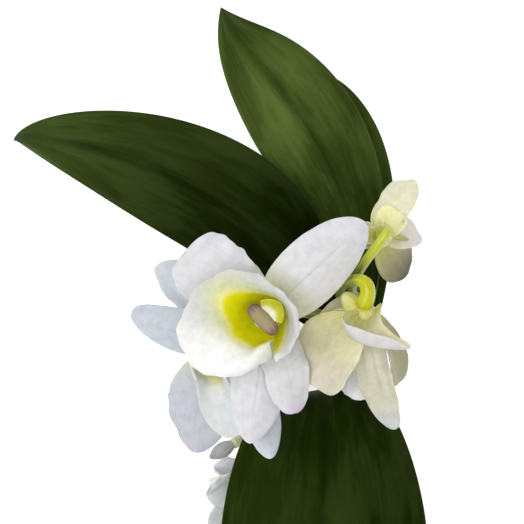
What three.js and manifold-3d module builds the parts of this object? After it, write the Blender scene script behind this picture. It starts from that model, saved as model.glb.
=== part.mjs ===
// A cut flowering cane of a white, yellow-throated dendrobium orchid, laid on its back on a flat surface.
//
// Millimetres, +Z up. The cane lies along Y with its growing tip towards +Y and its cut end towards -Y.
// Four leaves grow from its nodes, one after another round the cane, and five flowers and a bud stand on
// bent stalks. It rests on the flat underside of the cane's lowest part, on the tip of the left leaf and on
// the outer margin of the right leaf.
//
// Every leaf, sepal, petal and lip is a thin sheet: a function of u, from its base to its tip, and v, from
// one margin to the other, given a thickness. Every stalk is a lathe profile bent along a curve.

import * as THREE from "three";
import { mergeVertices } from "three/addons/utils/BufferGeometryUtils.js";
import Module from "manifold-3d";

const { PI, sin, cos, abs, pow, max } = Math;
const DEGREE = PI / 180;

// Driving dimensions.
const LEAF_THICKNESS = 1.0;
const PETAL_THICKNESS = 0.8;
const CLEARANCE = 0.35; // left between pieces that touch
const CANE_RADIUS = 4.4;
const STALK_RADIUS = 1.35;
const RECEPTACLE_RADIUS = 3.6; // the green cup behind the petals

// The drawing's zero, moved to the middle of the part's footprint.
const FRAME_SHIFT = new THREE.Vector3(16.5, 34.9, 0);

const wasm = await Module();
wasm.setup();

const vector = ([x, y, z]) => new THREE.Vector3(x, y, z);

// Shares of a length, from 0 to 1: even, or closing up towards the far end.
const evenly = (count) => Array.from({ length: count + 1 }, (_, i) => i / count);
const closingUp = (count) => evenly(count).map((share) => sin((PI / 2) * share));

// ---------------------------------------------------------------- colours

const finish = (color, roughness) => new THREE.MeshStandardMaterial({ color, roughness, metalness: 0 });
const LEAF_GREEN = finish("#2c4415", 0.45);
const CANE_GREEN = finish("#7c8a45", 0.6);
const PETAL_WHITE = finish("#e9e8ea", 0.6);
const LIP_WHITE = finish("#f2f1e6", 0.6);
const COLUMN_TAN = finish("#b7a06e", 0.5);
const STALK_LIME = finish("#c3c944", 0.5);

// ---------------------------------------------------------------- solids

// A Bezier curve of any degree, by repeated halving of its control polygon.
class Bezier extends THREE.Curve {
  constructor(points) {
    super();
    this.points = points.map(vector);
  }
  getPoint(t, target = new THREE.Vector3()) {
    let left = this.points;
    while (left.length > 1) left = left.slice(1).map((p, i) => left[i].clone().lerp(p, t));
    return target.copy(left[0]);
  }
}

// The sheet whose middle surface is pointAt(u, v), for u from 0 to 1 and v from -1 to 1, as a closed slab.
// Both faces are split along the same diagonals, so that they never cross.
function slab(pointAt, us, columns, thickness) {
  const rows = us.length - 1;
  const vs = evenly(columns).map((share) => 2 * share - 1);
  const step = 1e-3;
  const normalAt = (u, v) => {
    const [u0, u1] = [max(u - step, 0), Math.min(u + step, 1)];
    const [v0, v1] = [max(v - step, -1), Math.min(v + step, 1)];
    const along = pointAt(u1, v).sub(pointAt(u0, v));
    return pointAt(u, v1).sub(pointAt(u, v0)).cross(along).normalize();
  };
  const positions = [];
  for (const side of [0.5, -0.5])
    for (const u of us)
      for (const v of vs) {
        const p = pointAt(u, v).addScaledVector(normalAt(u, v), side * thickness);
        positions.push(p.x, p.y, p.z);
      }
  const low = (rows + 1) * (columns + 1);
  const at = (i, j) => i * (columns + 1) + j;
  const faces = [];
  for (let i = 0; i < rows; i++)
    for (let j = 0; j < columns; j++) {
      const [a, b, c, d] = [at(i, j), at(i, j + 1), at(i + 1, j), at(i + 1, j + 1)];
      faces.push(a, b, c, b, d, c);
      faces.push(low + a, low + c, low + b, low + b, low + c, low + d);
    }
  const wall = (a, b) => faces.push(a, low + a, b, b, low + a, low + b);
  for (let i = 0; i < rows; i++) {
    wall(at(i + 1, 0), at(i, 0));
    wall(at(i, columns), at(i + 1, columns));
  }
  for (let j = 0; j < columns; j++) {
    wall(at(0, j), at(0, j + 1));
    wall(at(rows, j + 1), at(rows, j));
  }
  return new THREE.BufferGeometry()
    .setAttribute("position", new THREE.Float32BufferAttribute(positions, 3))
    .setIndex(faces);
}

// A solid of revolution, whose radius is radiusAt(share of the length), bent along a curve.
// Its facets keep square to `up`, so a straight stretch has a flat facet on its underside.
function bentLathe(curve, radiusAt, steps, sides, up = new THREE.Vector3(0, 0, 1)) {
  const shares = evenly(steps);
  const skin = shares.map((s) => new THREE.Vector2(radiusAt(s), s));
  const profile = [new THREE.Vector2(0, 0), ...skin, new THREE.Vector2(0, 1)];
  const geometry = new THREE.LatheGeometry(profile, sides, PI / sides);
  const spots = geometry.getAttribute("position");
  for (let i = 0; i < spots.count; i++) {
    const [x, s, z] = [spots.getX(i), spots.getY(i), spots.getZ(i)];
    const tangent = curve.getTangent(s);
    const across = tangent.clone().cross(up).normalize();
    const raised = across.clone().cross(tangent);
    const p = curve.getPoint(s).addScaledVector(across, x).addScaledVector(raised, z);
    spots.setXYZ(i, p.x, p.y, p.z);
  }
  return geometry;
}

function solidOf(geometry) {
  const bare = new THREE.BufferGeometry().setAttribute("position", geometry.getAttribute("position"));
  bare.setIndex(geometry.index);
  const merged = mergeVertices(bare, 1e-4);
  const vertProperties = merged.getAttribute("position").array;
  const closed = (triVerts) => new wasm.Manifold(new wasm.Mesh({ numProp: 3, vertProperties, triVerts }));
  const solid = closed(merged.index.array);
  return solid.volume() > 0 ? solid : closed(Uint32Array.from(merged.index.array).reverse());
}

// Several closed geometries grown together as one.
function grownTogether(geometries) {
  const joined = geometries.map(solidOf).reduce((whole, solid) => whole.add(solid)).getMesh();
  return new THREE.BufferGeometry()
    .setAttribute("position", new THREE.Float32BufferAttribute(joined.vertProperties, 3))
    .setIndex(new THREE.BufferAttribute(joined.triVerts, 1));
}

// ---------------------------------------------------------------- outlines

// Half width of a blade, 1 at its widest, rising as u^base and closing as (1 - u)^tip.
function outline(u, base, tip) {
  const widest = base / (base + tip);
  return pow(u / widest, base) * pow((1 - u) / (1 - widest), tip);
}

const SMALLEST_HALF_WIDTH = 0.5;

// Point of a blade at lateral place v on a frame (spot, side, face): its section is an arc that turns
// by `cup` radians from the middle to each margin, after a keel and a ruffle are added.
function acrossBlade(spot, side, face, v, halfWidth, cup, keel, ruffle) {
  const bend = abs(cup) < 1e-3 ? 1e-3 : cup;
  const out = (halfWidth * sin(bend * v)) / bend;
  const rise = (halfWidth * (1 - cos(bend * v))) / bend;
  const lift = rise + keel * halfWidth * abs(v) + ruffle * pow(abs(v), 3);
  return spot.addScaledVector(side, out).addScaledVector(face, lift);
}

// ---------------------------------------------------------------- the cane

const CANE_AXIS_HEIGHT = CANE_RADIUS * cos(PI / 12); // its lowest facet then lies on the surface
const CANE_BEND = [
  [31, -7, 12.5], [29, -20, 10.5], [25.5, -36, 7.6], [22, -58, 5.4], [19.5, -84, CANE_AXIS_HEIGHT],
  [18.6, -108, CANE_AXIS_HEIGHT],
];
const CANE_FOOT = [17.9, -150, CANE_AXIS_HEIGHT];
const INTERNODES = 7;

// The bent upper cane, then its straight lowest internodes. Share 0 is the growing tip, 1 the cut end.
const caneCurve = new THREE.CurvePath();
caneCurve.add(new Bezier(CANE_BEND));
caneCurve.add(new THREE.LineCurve3(vector(CANE_BEND.at(-1)), vector(CANE_FOOT)));
const STRAIGHT_FROM = caneCurve.curves[0].getLength() / caneCurve.getLength();

// Rounded at the tip, slimmer towards it, pinched at each node and swollen between them where it is bent.
function caneRadius(share) {
  const place = share * INTERNODES;
  const swelling = 0.07 * abs(sin(PI * place)) * max(0, 1 - share / STRAIGHT_FROM);
  const pinch = 0.06 * pow(abs(cos(PI * place)), 24);
  const slimming = (1 - 0.3 * pow(1 - share, 2)) * (1 - 0.4 * pow(1 - share, 80));
  return CANE_RADIUS * slimming * (1 + swelling - pinch);
}

// The place at a share of the cane and at a distance from its skin. Angle 0 is its right side, 90 its top.
function besideCane(share, angle, distance) {
  const growth = caneCurve.getTangent(share).negate();
  const right = growth.clone().cross(new THREE.Vector3(0, 0, 1)).normalize();
  const top = right.clone().cross(growth);
  const outward = right.multiplyScalar(cos(angle * DEGREE)).addScaledVector(top, sin(angle * DEGREE));
  const spot = caneCurve.getPoint(share).addScaledVector(outward, caneRadius(share) + distance);
  return { spot, outward, growth };
}

// ---------------------------------------------------------------- leaves

// Each leaf clasps the cane round `angle` at the share `at`, then follows the points of `midrib`. Its upper
// face looks at `faceTip` by its tip. Its outline closes as `shape`, and `fold` is how far its section
// turns up, in radians, at base, middle and tip.
const LEAVES = {
  leaf_left: {
    at: 0.16,
    angle: 180,
    midrib: [[10, -2, 14], [4, 26, 43], [-35.5, 30, 32], [-72, 42, 14], [-79.5, 38.8, 0.3]],
    faceTip: [0.1, -0.15, 1],
    halfWidth: 18.4,
    shape: [1.15, 1.26],
    fold: [0.5, 0.3, 0.1],
  },
  leaf_top: {
    at: 0.055,
    angle: 330,
    midrib: [[31, 4, 8.5], [28, 24.5, 9.5], [15, 49, 30], [-4, 55.5, 31], [-12.9, 79.8, 9]],
    faceTip: [-0.15, 0.2, 1],
    halfWidth: 16.5,
    shape: [1.6, 1],
    fold: [0.5, 0.3, 0.35],
  },
  leaf_right: {
    at: 0.25,
    angle: 335,
    midrib: [[34, -28, 4], [24, -4, 2.5], [35, 20, 3.1], [29, 42, 3.2], [16, 60, 3.6]],
    faceTip: [0.4, 0, 1],
    halfWidth: 13,
    shape: [1.6, 0.65],
    fold: [0.5, 0.1, -0.1],
  },
  leaf_lower: {
    at: 0.35,
    angle: 90,
    midrib: [[24, -34, 13], [17, -17, 34], [15, -47, 44], [20, -78, 62], [17.3, -105, 52], [18.4, -138, 25]],
    faceTip: [0, 0.3, 1],
    halfWidth: 31.5,
    shape: [1.9, 0.62],
    fold: [0.3, -0.45, -0.4],
  },
};
const SHEATH_GAP = CLEARANCE + LEAF_THICKNESS / 2;
const SHEATH_LENGTH = 6;
const SHEATH_WRAP = 1.5; // radians from the midrib to each margin where the leaf clasps the cane

// Blend of three values at u = 0, 0.5 and 1, with no corner between them.
const along3 = ([a, b, c], u) => a * (1 - u) * (1 - u) + (4 * b - a - c) * u * (1 - u) + c * u * u;

function leafPoint(leaf) {
  const { spot, outward, growth } = besideCane(leaf.at, leaf.angle, SHEATH_GAP);
  const collar = spot.clone().addScaledVector(growth, SHEATH_LENGTH);
  const curve = new Bezier([spot.toArray(), collar.toArray(), ...leaf.midrib]);
  const [faceBase, faceTip] = [outward.clone().negate(), vector(leaf.faceTip).normalize()];
  const claspRadius = caneRadius(leaf.at) + SHEATH_GAP;
  return (u, v) => {
    const tangent = curve.getTangent(u);
    const looks = faceBase.clone().lerp(faceTip, pow(u, 0.8));
    const side = tangent.clone().cross(looks).normalize();
    const face = side.clone().cross(tangent);
    const clasp = SHEATH_WRAP * pow(max(0, 1 - u / 0.3), 2);
    const wide = outline(u, ...leaf.shape);
    const halfWidth = max(leaf.halfWidth * wide + claspRadius * clasp, SMALLEST_HALF_WIDTH);
    const cup = along3(leaf.fold, u) * wide + clasp;
    return acrossBlade(curve.getPoint(u), side, face, v, halfWidth, cup, 0, 0);
  };
}

// ---------------------------------------------------------------- flowers

// A flower's own frame has Z where it faces and Y towards its dorsal sepal, with zero where the petals meet.
// Each tepal: azimuth round the facing axis, opening from that axis, the turn along its length and the
// twist of its blade by its tip, in degrees; length, half width, ruffle and the midrib's bow to one side
// in mm; cup in radians; keel as a slope; the outline's shape.
const FLAT = { bow: 0, twist: 0 };
const SEPAL = { ...FLAT, curl: 14, halfWidth: 8.6, cup: 0.5, ruffle: 0, keel: 0.12, shape: [0.55, 0.6] };
const PETAL = { ...FLAT, curl: 18, halfWidth: 12.5, cup: 0.35, ruffle: 1.6, keel: 0.03, shape: [0.7, 0.48] };
const sepal = (azimuth, open, length, more = {}) => ({ ...SEPAL, azimuth, open, length, ...more });
const petal = (azimuth, open, length, more = {}) => ({ ...PETAL, azimuth, open, length, ...more });

// Each lip: how far its rim reaches in front and at the back, the throat's radius and the tube's depth,
// in mm, then the number of its facets. `slit` is the angle of its first margin.
const LIP = { lobe: 1.8, skew: 0, crest: 0, towards: -90, slit: 90 };
const trumpet = (reach, back, throat, depth, columns, more = {}) => {
  return { ...LIP, reach, back, throat, depth, columns, ...more };
};

const FLOWERS = {
  front: {
    centre: [1.4, -14.5, 52],
    faces: [-0.12, -0.1, 0.99],
    dorsal: [0.72, 0.69, 0],
    tepals: [
      sepal(90, 79, 37.5, { halfWidth: 9, twist: -16, cup: 0.4, shape: [0.5, 0.53] }),
      petal(184, 70, 28.5, { halfWidth: 11.5, twist: 16, cup: 0.45, shape: [0.6, 0.27] }),
      petal(-24, 63, 28.5, { halfWidth: 6.5, curl: 12, bow: 1.3, twist: 40, cup: 0.6, shape: [0.64, 0.45] }),
      sepal(-132, 94, 38.5, { halfWidth: 6.7, curl: 20, bow: 5, shape: [0.64, 0.43] }),
      sepal(-50, 71, 35, { keel: 0.3 }),
    ],
    lip: trumpet(22.7, 10.3, 7.8, 14, 26, { lobe: 3, skew: 0.55, crest: 2.2, towards: -114, slit: -21 }),
    stalk: { at: 0.085, angle: 85, leaves: [0, 0, 13], arrives: [6, 3, -12], swell: 0.65 },
  },
  below: {
    centre: [-11.8, -26, 30],
    faces: [-0.2, -0.25, 0.95],
    dorsal: [0.05, 0.95, 0.25],
    tepals: [
      sepal(86, 78, 28), petal(42, 83, 21, { halfWidth: 7.5 }),
      petal(133, 97, 30.5, { halfWidth: 6.7, curl: 4, bow: -2.7, twist: 12, shape: [0.74, 0.4] }),
      sepal(-100, 75, 30.5, { halfWidth: 10, bow: -2.5, ruffle: 1.6, cup: 0.4, shape: [0.56, 0.54] }),
      sepal(-42, 44, 40, { halfWidth: 7, curl: -4, bow: 1.8, twist: 34, cup: 1.1, shape: [0.6, 0.67] }),
    ],
    lip: trumpet(23, 5, 4.7, 12, 20, { lobe: 14, towards: -74, slit: 60 }),
    stalk: { at: 0.2, angle: 180, leaves: [-14, 0, 0], arrives: [2.5, 3, -11], swell: 0.65 },
  },
  right: {
    centre: [28.3, -14.6, 56],
    faces: [0.05, -0.9, -0.42],
    dorsal: [0.64, -0.32, 0.69],
    tepals: [
      sepal(105, 92, 22.5, { curl: 16, halfWidth: 7.2, bow: 7.7, twist: 28, cup: 1.3, shape: [0.43, 0.65] }),
      petal(184, 46, 24, { curl: -25, halfWidth: 12, cup: 0.22, shape: [0.8, 0.44] }),
      petal(107, 29, 30.7, { curl: -29, halfWidth: 4, bow: 2.9, twist: -36, cup: 0.1, shape: [0.64, 0.69] }),
      sepal(244, 66, 17, { curl: -31, halfWidth: 5, bow: 7.2, twist: 7, cup: 0.4, shape: [0.6, 0.5] }),
      sepal(38, 22, 24, { curl: -31, halfWidth: 4.7, bow: 1, twist: -38, cup: 0.2, shape: [0.68, 0.62] }),
    ],
    lip: trumpet(7, 5, 4.1, 20, 16, { slit: 130 }),
    stalk: { at: 0.05, angle: 105, leaves: [-16, 8, 35], arrives: [5, 12, 4], swell: 0.65 },
  },
  upper: {
    centre: [33.4, 7.6, 47],
    faces: [0.15, -0.03, -0.99],
    dorsal: [0.97, 0, 0.25],
    tepals: [
      sepal(36, 82, 7.5, { curl: -13, halfWidth: 4.4, twist: 9, cup: 0.3, shape: [0.68, 0.35] }),
      petal(24, 58, 20.3, { curl: -41, halfWidth: 5, twist: 36, cup: 0.2, shape: [0.64, 0.5] }),
      petal(143, 27, 24.5, { curl: -37, halfWidth: 6.2, bow: 1, twist: 40, ruffle: 0.8, shape: [0.8, 1] }),
      sepal(81, 28, 19.6, { curl: -37, halfWidth: 4.5, twist: 23, cup: 0.22, shape: [0.57, 0.6] }),
      sepal(-90, 18, 20, { curl: -54, halfWidth: 3.6 }),
    ],
    lip: trumpet(4, 3.7, 3.5, 12, 14, { slit: -60 }),
    stalk: { at: 0.022, angle: 80, leaves: [-15, 1, 36], arrives: [8, 6, 18], swell: 0.02 },
  },
  side: {
    centre: [-5, -66.5, 21],
    faces: [-0.8, -0.25, -0.5],
    dorsal: [-0.3, 0.85, 0.3],
    tepals: [
      sepal(71, 53, 10.4, { curl: -12, halfWidth: 3.7, twist: 11, shape: [0.65, 0.63] }),
      petal(15, 41, 12, { curl: -25, halfWidth: 4.9, twist: 10, ruffle: 0.5, shape: [0.52, 0.45] }),
      sepal(-42, 49, 18.4, { curl: -1.5, halfWidth: 4.1, bow: 1, twist: -80, cup: 0.4, shape: [0.57, 0.4] }),
      sepal(140, 40, 14, { curl: -20, halfWidth: 4.5 }), petal(220, 40, 14, { curl: -20, halfWidth: 5 }),
    ],
    lip: trumpet(4.8, 4.3, 4, 6, 14),
    stalk: { at: 0.43, angle: 170, leaves: [-6, 0, 1], arrives: [6, 0, 4], swell: 0.65 },
  },
};

// A tepal's midrib is a circular arc in the plane through the flower's axis, bowed to one side.
function tepalPoint(tepal) {
  const { azimuth, open, curl, length, halfWidth, cup, ruffle, keel, shape, bow, twist } = tepal;
  const turn = curl * DEGREE;
  const first = open * DEGREE - turn / 2;
  const outward = new THREE.Vector3(cos(azimuth * DEGREE), sin(azimuth * DEGREE), 0);
  const forward = new THREE.Vector3(0, 0, 1);
  const side = forward.clone().cross(outward);
  return (u, v) => {
    const angle = first + turn * u;
    const spot = outward.clone().multiplyScalar(1.2 + (length * (cos(first) - cos(angle))) / turn);
    spot.addScaledVector(forward, (length * (sin(angle) - sin(first))) / turn);
    spot.addScaledVector(side, bow * sin(PI * u));
    const tangent = outward.clone().multiplyScalar(sin(angle)).addScaledVector(forward, cos(angle));
    const level = side.clone().cross(tangent);
    const lean = twist * DEGREE * u;
    const across = side.clone().multiplyScalar(cos(lean)).addScaledVector(level, sin(lean));
    const face = across.clone().cross(tangent);
    const wide = halfWidth * outline(u, ...shape) + 2.6 * pow(1 - u, 3);
    const wave = ruffle * sin(PI * u) * sin(5.2 * u + (v > 0 ? 0.9 : 2.6));
    return acrossBlade(spot, across, face, v, max(wide, SMALLEST_HALF_WIDTH), cup, keel, wave);
  };
}

// The lip is one sheet rolled into a trumpet: v runs round its axis, past a full turn deep down, so that the
// last margin passes inside the first, and short of one at the rim, where a notch stays open. u runs from
// the tube's foot to the rim, which reaches furthest `towards`, more sharply so on the side `skew` favours.
// Near its last margin the sheet rises to a `crest`, pinched towards the axis, before it falls to the rim.
const LIP_FOOT_RADIUS = 3.9;
const LIP_OVERLAP = 14 * DEGREE;
const LIP_NOTCH = 20 * DEGREE;
const LIP_SPIRAL = 1.5; // how far the first margin stands off the last one
const LIP_FOOT = RECEPTACLE_RADIUS + 0.9;

function lipPoint({ reach, back, throat, lobe, skew, crest, depth, towards, slit }) {
  return (u, v) => {
    const round = (v + 1) / 2;
    const angle = slit * DEGREE + round * (2 * PI + LIP_OVERLAP - LIP_NOTCH * pow(u, 3));
    const off = angle - towards * DEGREE;
    const rim = back + (reach - back) * pow(0.5 + 0.5 * cos(off), lobe * (1 + skew * sin(off)));
    const standOff = LIP_SPIRAL * (0.5 - round);
    const swell = crest * THREE.MathUtils.smoothstep(round, 0.82, 0.94);
    const fold = swell * Math.exp(-pow((u - 0.65) / 0.2, 2));
    const tube = LIP_FOOT_RADIUS + (throat - LIP_FOOT_RADIUS) * (1 - pow(1 - u, 3));
    const radius = tube + (rim - throat) * pow(u, 3) + standOff - fold;
    const frill = 0.05 * rim * pow(u, 4) * sin(5 * angle);
    const rise = LIP_FOOT + depth * sin((PI / 2) * u) - 0.17 * (rim - back) * pow(u, 5) + frill;
    const height = rise - 1.25 * standOff * pow(u, 1.5) + fold - 1.5 * swell * pow(u, 8);
    return new THREE.Vector3(radius * cos(angle), radius * sin(angle), height);
  };
}

// The column stands in the lip's tube, with the anther cap across its end.
function columnGeometry({ throat, depth }) {
  const length = 0.6 * depth;
  const wide = 0.65 * throat; // half the cap's width
  const profile = [[0, 0], [2, 0], [2, length], [0, length]];
  const rod = new THREE.LatheGeometry(profile.map(([r, s]) => new THREE.Vector2(r, LIP_FOOT + s)), 8);
  const cap = new THREE.SphereGeometry(1, 8, 6).rotateX(PI / 2).scale(wide, 0.36 * wide, 0.34 * wide);
  return grownTogether([rod.rotateX(PI / 2), cap.translate(0, 0.13 * wide, LIP_FOOT + length)]);
}

// The round seat of the petals and the blunt chin below it.
function receptacleGeometry() {
  const seat = new THREE.SphereGeometry(RECEPTACLE_RADIUS, 8, 5).scale(1, 1, 0.9);
  const chin = new THREE.SphereGeometry(1, 8, 5).scale(2.8, 4.6, 2.6).rotateX(0.6).translate(0, -4.4, -1.2);
  return [seat, chin];
}

// The turn that carries a flower's own axes onto where it faces and its dorsal side.
function flowerTurn({ faces, dorsal }) {
  const z = vector(faces).normalize();
  const y = vector(dorsal);
  y.addScaledVector(z, -y.dot(z)).normalize();
  const axes = new THREE.Matrix4().makeBasis(y.clone().cross(z), y, z);
  return new THREE.Quaternion().setFromRotationMatrix(axes);
}

// A stalk leaves the cane's skin at a share and an angle, heads along `leaves`, and comes in to the seat of
// its flower, or the foot of its bud, from the offset `arrives`. It thickens by the share `swell`.
function stalkGeometry({ at, angle, leaves, arrives, swell }, end) {
  const start = besideCane(at, angle, CLEARANCE + 0.3).spot;
  const second = start.clone().add(vector(leaves));
  const third = end.clone().add(vector(arrives));
  const curve = new THREE.CubicBezierCurve3(start, second, third, end);
  const radius = (share) => STALK_RADIUS * (1 + swell * pow(share, 1.5));
  return bentLathe(curve, radius, 11, 8, new THREE.Vector3(0.31, 0.17, 0.93));
}

// ---------------------------------------------------------------- bud

const BUD = {
  foot: [-8.2, -54.8, 20.8],
  tip: [-15.8, -59.2, 22.1],
  radius: 2.4,
  stalk: { at: 0.37, angle: 185, leaves: [-7, 3, 1], arrives: [5, 3, -2], swell: 0.2 },
};

function budGeometry({ foot, tip, radius }) {
  const profile = (share) => radius * pow(sin(PI * (0.06 + 0.9 * share)), 0.8);
  return bentLathe(new THREE.LineCurve3(vector(foot), vector(tip)), profile, 8, 10);
}

// ---------------------------------------------------------------- assembly

const orchid = new THREE.Group();
orchid.position.copy(FRAME_SHIFT);

function place(name, geometry, material, group = orchid) {
  const mesh = new THREE.Mesh(geometry, material);
  mesh.name = name;
  group.add(mesh);
}

place("cane", bentLathe(caneCurve, caneRadius, 35, 12), CANE_GREEN);

const LEAF_ROWS = evenly(14).map((share) => 0.5 - 0.5 * cos(PI * share));
for (const [name, leaf] of Object.entries(LEAVES))
  place(name, slab(leafPoint(leaf), LEAF_ROWS, 6, LEAF_THICKNESS), LEAF_GREEN);

for (const [name, flower] of Object.entries(FLOWERS)) {
  const group = new THREE.Group();
  group.position.copy(vector(flower.centre));
  group.quaternion.copy(flowerTurn(flower));
  orchid.add(group);
  const tepals = flower.tepals.map((tepal) => slab(tepalPoint(tepal), closingUp(8), 4, PETAL_THICKNESS));
  place(`flower_${name}_tepals`, grownTogether([...receptacleGeometry(), ...tepals]), PETAL_WHITE, group);
  const lip = slab(lipPoint(flower.lip), closingUp(6), flower.lip.columns, PETAL_THICKNESS);
  place(`flower_${name}_lip`, lip, LIP_WHITE, group);
  place(`flower_${name}_column`, columnGeometry(flower.lip), COLUMN_TAN, group);
  const behind = vector(flower.faces).normalize().multiplyScalar(-(0.9 * RECEPTACLE_RADIUS + CLEARANCE));
  place(`flower_${name}_stalk`, stalkGeometry(flower.stalk, behind.add(vector(flower.centre))), STALK_LIME);
}

place("bud", budGeometry(BUD), PETAL_WHITE);
const budEnd = vector(BUD.foot).lerp(vector(BUD.tip), -0.02);
place("bud_stalk", stalkGeometry(BUD.stalk, budEnd), STALK_LIME);

export default orchid;
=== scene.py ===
# %% [markdown]
# # A cut cane of a white dendrobium orchid
# The cane lies on its back on a table, with four leathery leaves, five flowers and one bud. The solid
# model is loaded first and stays fixed. Every piece made below stands for one of its nodes, from the same
# formulas with finer detail, so the plant keeps its sizes and its places.

import bpy
import numpy as np
from numpy import cos, pi, sin
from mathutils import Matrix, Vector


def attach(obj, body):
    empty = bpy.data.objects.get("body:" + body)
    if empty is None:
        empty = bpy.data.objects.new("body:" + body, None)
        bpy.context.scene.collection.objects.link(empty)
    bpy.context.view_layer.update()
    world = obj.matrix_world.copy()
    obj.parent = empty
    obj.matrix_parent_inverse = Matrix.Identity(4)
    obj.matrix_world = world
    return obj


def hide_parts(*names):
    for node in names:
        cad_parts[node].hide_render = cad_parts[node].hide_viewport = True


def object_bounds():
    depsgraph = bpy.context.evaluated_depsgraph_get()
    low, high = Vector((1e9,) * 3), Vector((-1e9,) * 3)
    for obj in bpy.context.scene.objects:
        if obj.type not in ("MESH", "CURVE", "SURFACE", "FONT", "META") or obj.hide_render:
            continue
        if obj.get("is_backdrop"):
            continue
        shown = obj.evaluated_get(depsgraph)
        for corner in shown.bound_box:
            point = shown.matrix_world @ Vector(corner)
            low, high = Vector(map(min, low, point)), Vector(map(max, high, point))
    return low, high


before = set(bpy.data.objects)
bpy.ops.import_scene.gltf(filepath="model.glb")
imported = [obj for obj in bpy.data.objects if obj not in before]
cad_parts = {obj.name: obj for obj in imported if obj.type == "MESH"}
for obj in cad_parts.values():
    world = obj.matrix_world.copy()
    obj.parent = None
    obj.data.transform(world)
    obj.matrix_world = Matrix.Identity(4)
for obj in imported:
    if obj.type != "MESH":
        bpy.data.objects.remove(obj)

CAD_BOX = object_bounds()
MM = 0.001
SHIFT = np.array([16.5, 34.9, 0.0])  # from the drawing's zero to the middle of the footprint
cad_sides = [round(side / MM, 1) for side in CAD_BOX[1] - CAD_BOX[0]]
print(len(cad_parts), "solid nodes, box in mm:", cad_sides)

# %% [markdown]
# ## Small tools
# A plant has no flat faces, so each piece is a surface: a formula that turns whole arrays of two
# parameters into points. These few helpers are the arithmetic that every such formula uses.

# %% Vectors, steps and curves
def unit(a):
    """A vector divided by its length."""
    return a / np.maximum(np.linalg.norm(a, axis=-1, keepdims=True), 1e-12)


def smooth(x, low, high):
    """0 below low and 1 above high, with the ease curve 3t^2 - 2t^3 in between."""
    t = np.clip((x - low) / (high - low), 0, 1)
    return t * t * (3 - 2 * t)


def bell(x, width):
    """A smooth bump, exp(-(x / width)^2): 1 where x is 0, and 0.02 at twice the width."""
    return np.exp(-((x / width) ** 2))


def bezier(points, t):
    """Point at share t of a Bezier curve: neighbouring points are blended by t until one is left."""
    left = [np.asarray(p, float) for p in points]
    t = np.clip(np.asarray(t, float), 0, 1)[..., None]
    while len(left) > 1:
        left = [a + (b - a) * t for a, b in zip(left, left[1:])]
    return left[0]


def tangent_of(curve, t, step=1e-3):
    """Direction of a curve, from the difference of two points close to share t."""
    return unit(curve(np.minimum(t + step, 1)) - curve(np.maximum(t - step, 0)))


def along3(values, u):
    """Parabola through three values at u = 0, 0.5 and 1, with the middle one as a pull and no corner."""
    a, b, c = values
    return a * (1 - u) ** 2 + (4 * b - a - c) * u * (1 - u) + c * u**2


def outline(u, base, tip):
    """Half width of a blade, 1 at its widest: it opens as u^base and closes as (1 - u)^tip."""
    widest = base / (base + tip)
    return (u / widest) ** base * ((1 - u) / (1 - widest)) ** tip


def round_grid(shares, sides):
    """The two parameters of a round piece: share of its length, row by row, and turn about its axis."""
    return np.meshgrid(shares, np.linspace(0, 2 * pi, sides + 1)[:-1], indexing="ij")


print("widest place of a leaf-like outline (0.75, 0.6):", round(0.75 / 1.35, 3))

# %% [markdown]
# ## Colours
# Colours are picked as the eye sees them, in hex, but light adds up linearly, so one function turns them
# to linear. A petal's colour changes over its surface in soft patches. They are painted on the points as
# a list of washes: each wash is a colour and a weight from 0 to 1, laid over the ones before.

# %% Hex colours and washes
def linear(hex_colour):
    """An sRGB hex colour as linear red, green and blue, by the sRGB curve."""
    value = np.array([int(hex_colour[i:i + 2], 16) for i in (1, 3, 5)]) / 255
    return np.where(value <= 0.04045, value / 12.92, ((value + 0.055) / 1.055) ** 2.4)


def washes(base, *layers):
    """The base colour with each (colour, weight) laid over it: tint = tint + (colour - tint) * weight."""
    weights = [np.asarray(weight, float) for _, weight in layers]
    shape = np.broadcast(*weights).shape if len(weights) > 1 else weights[0].shape
    tint = np.broadcast_to(linear(base), shape + (3,))
    for (colour, _), weight in zip(layers, weights):
        tint = tint + (linear(colour) - tint) * np.clip(weight, 0, 1)[..., None]
    return tint


print("petal white in linear light:", linear("#f1f0f3").round(3))

# %% [markdown]
# ## From a formula to a mesh
# Two builders make every piece. A sheet has two faces either side of a middle surface, which meet in a
# thin margin as a real petal's do. A round piece is a stack of rings closed by a point at each end. Both
# hand back a patch, and a piece is one or more patches put into one mesh.

# %% Sheets, round pieces and the mesh
def ease(count):
    """Shares from 0 to 1 that crowd towards both ends, 0.5 - 0.5 cos(pi s), where outlines turn fastest."""
    return 0.5 - 0.5 * cos(pi * np.linspace(0, 1, count + 1))


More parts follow.
